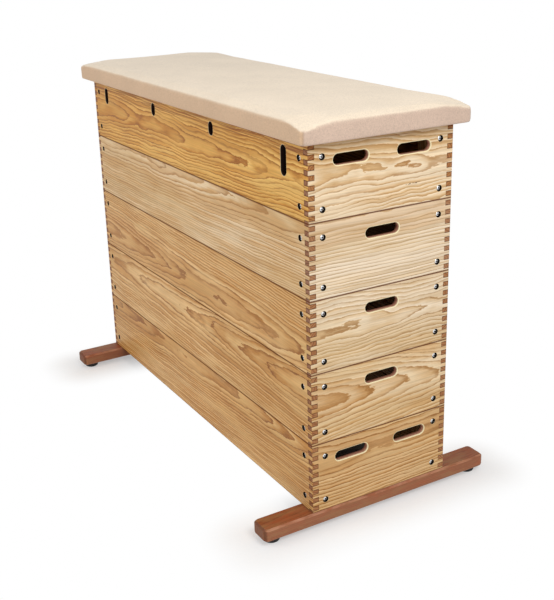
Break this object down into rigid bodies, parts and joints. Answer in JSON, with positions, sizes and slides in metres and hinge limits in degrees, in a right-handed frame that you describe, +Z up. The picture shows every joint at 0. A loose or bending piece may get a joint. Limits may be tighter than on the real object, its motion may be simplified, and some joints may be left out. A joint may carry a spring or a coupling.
{
  "type": "vaulting box",
  "caption": "Vaulting box of stacked comb-jointed wooden sections with hand holes and slots, on cross beams with rubber feet, with a padded leather top.",
  "frame": {"origin": "on the floor, under the middle of the box", "axes": "+X along the box towards its front end, +Y across it towards its right side, +Z up"},
  "size_m": [1.47, 0.74, 1.1133],
  "materials": {
    "pine": "satin",
    "hardwood": "satin",
    "plywood": "matte",
    "leather": "matte",
    "foam": "matte",
    "rubber": "matte",
    "zinc": "satin"
  },
  "bodies": {
    "base_section": {"section_1_board_front": "pine", "section_1_board_rear": "pine", "section_1_board_left": "pine", "section_1_board_right": "pine", "section_1_post_front_left": "pine", "section_1_post_front_right": "pine", "section_1_post_rear_left": "pine", "section_1_post_rear_right": "pine", "beam_front": "hardwood", "beam_rear": "hardwood", "foot_front_left": "rubber", "foot_front_right": "rubber", "foot_rear_left": "rubber", "foot_rear_right": "rubber", "beam_screw_front_left": "zinc", "beam_screw_front_right": "zinc", "beam_screw_rear_left": "zinc", "beam_screw_rear_right": "zinc"},
    "section_2": {"section_2_board_front": "pine", "section_2_board_rear": "pine", "section_2_board_left": "pine", "section_2_board_right": "pine", "section_2_post_front_left": "pine", "section_2_post_front_right": "pine", "section_2_post_rear_left": "pine", "section_2_post_rear_right": "pine"},
    "section_3": {"section_3_board_front": "pine", "section_3_board_rear": "pine", "section_3_board_left": "pine", "section_3_board_right": "pine", "section_3_post_front_left": "pine", "section_3_post_front_right": "pine", "section_3_post_rear_left": "pine", "section_3_post_rear_right": "pine"},
    "section_4": {"section_4_board_front": "pine", "section_4_board_rear": "pine", "section_4_board_left": "pine", "section_4_board_right": "pine", "section_4_post_front_left": "pine", "section_4_post_front_right": "pine", "section_4_post_rear_left": "pine", "section_4_post_rear_right": "pine"},
    "top_section": {"section_5_board_front": "pine", "section_5_board_rear": "pine", "section_5_board_left": "pine", "section_5_board_right": "pine", "section_5_post_front_left": "pine", "section_5_post_front_right": "pine", "section_5_post_rear_left": "pine", "section_5_post_rear_right": "pine", "deck": "plywood", "deck_screw_front_left": "zinc", "deck_screw_front_right": "zinc", "deck_screw_rear_left": "zinc", "deck_screw_rear_right": "zinc", "foam_pad": "foam", "leather_cover": "leather"}
  },
  "joints": [
    {"name": "lift_section_2", "type": "slide", "parent": "base_section", "child": "section_2", "axis": [0, 0, 1], "range_m": [0, 0.12]},
    {"name": "lift_section_3", "type": "slide", "parent": "section_2", "child": "section_3", "axis": [0, 0, 1], "range_m": [0, 0.12]},
    {"name": "lift_section_4", "type": "slide", "parent": "section_3", "child": "section_4", "axis": [0, 0, 1], "range_m": [0, 0.12]},
    {"name": "lift_top_section", "type": "slide", "parent": "section_4", "child": "top_section", "axis": [0, 0, 1], "range_m": [0, 0.12]}
  ]
}
